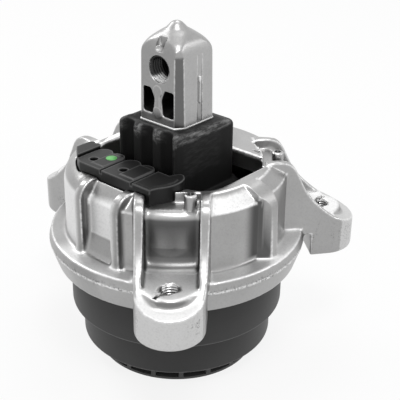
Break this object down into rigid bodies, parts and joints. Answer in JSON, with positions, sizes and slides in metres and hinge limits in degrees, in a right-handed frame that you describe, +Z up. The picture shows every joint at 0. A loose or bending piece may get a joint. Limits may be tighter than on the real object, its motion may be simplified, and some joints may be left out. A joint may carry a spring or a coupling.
{
  "type": "engine mount",
  "caption": "Hydraulic engine mount: square aluminium finger in a rubber block, die-cast bell housing with bolt feet, stepped black cup below.",
  "frame": {"origin": "centre of the vented base, on the surface that the mount stands on", "axes": "+Z up along the finger; the threaded hole of the finger opens toward -Y; one foot points along -X, the others 49.8 degrees either side of +X"},
  "size_m": [0.1443, 0.1362, 0.1594],
  "materials": {
    "aluminium_cast": "die-cast, semi-gloss",
    "rubber": "matt",
    "black_plastic": "satin",
    "cup_plastic": "satin",
    "steel": "plain",
    "plate_plastic": "matt",
    "soft_rubber": "matt"
  },
  "bodies": {
    "root": {"housing": "aluminium_cast", "core": "aluminium_cast", "main_spring": "rubber", "limiter_cap": "black_plastic", "cup": "cup_plastic", "vent_base": "cup_plastic", "spring_ring": "steel", "nozzle_upper": "plate_plastic", "nozzle_lower": "plate_plastic", "decoupler": "soft_rubber", "nozzle_seal": "soft_rubber", "bellows": "soft_rubber", "bellows_ring": "steel", "snap_ring": "steel"}
  },
  "joints": []
}
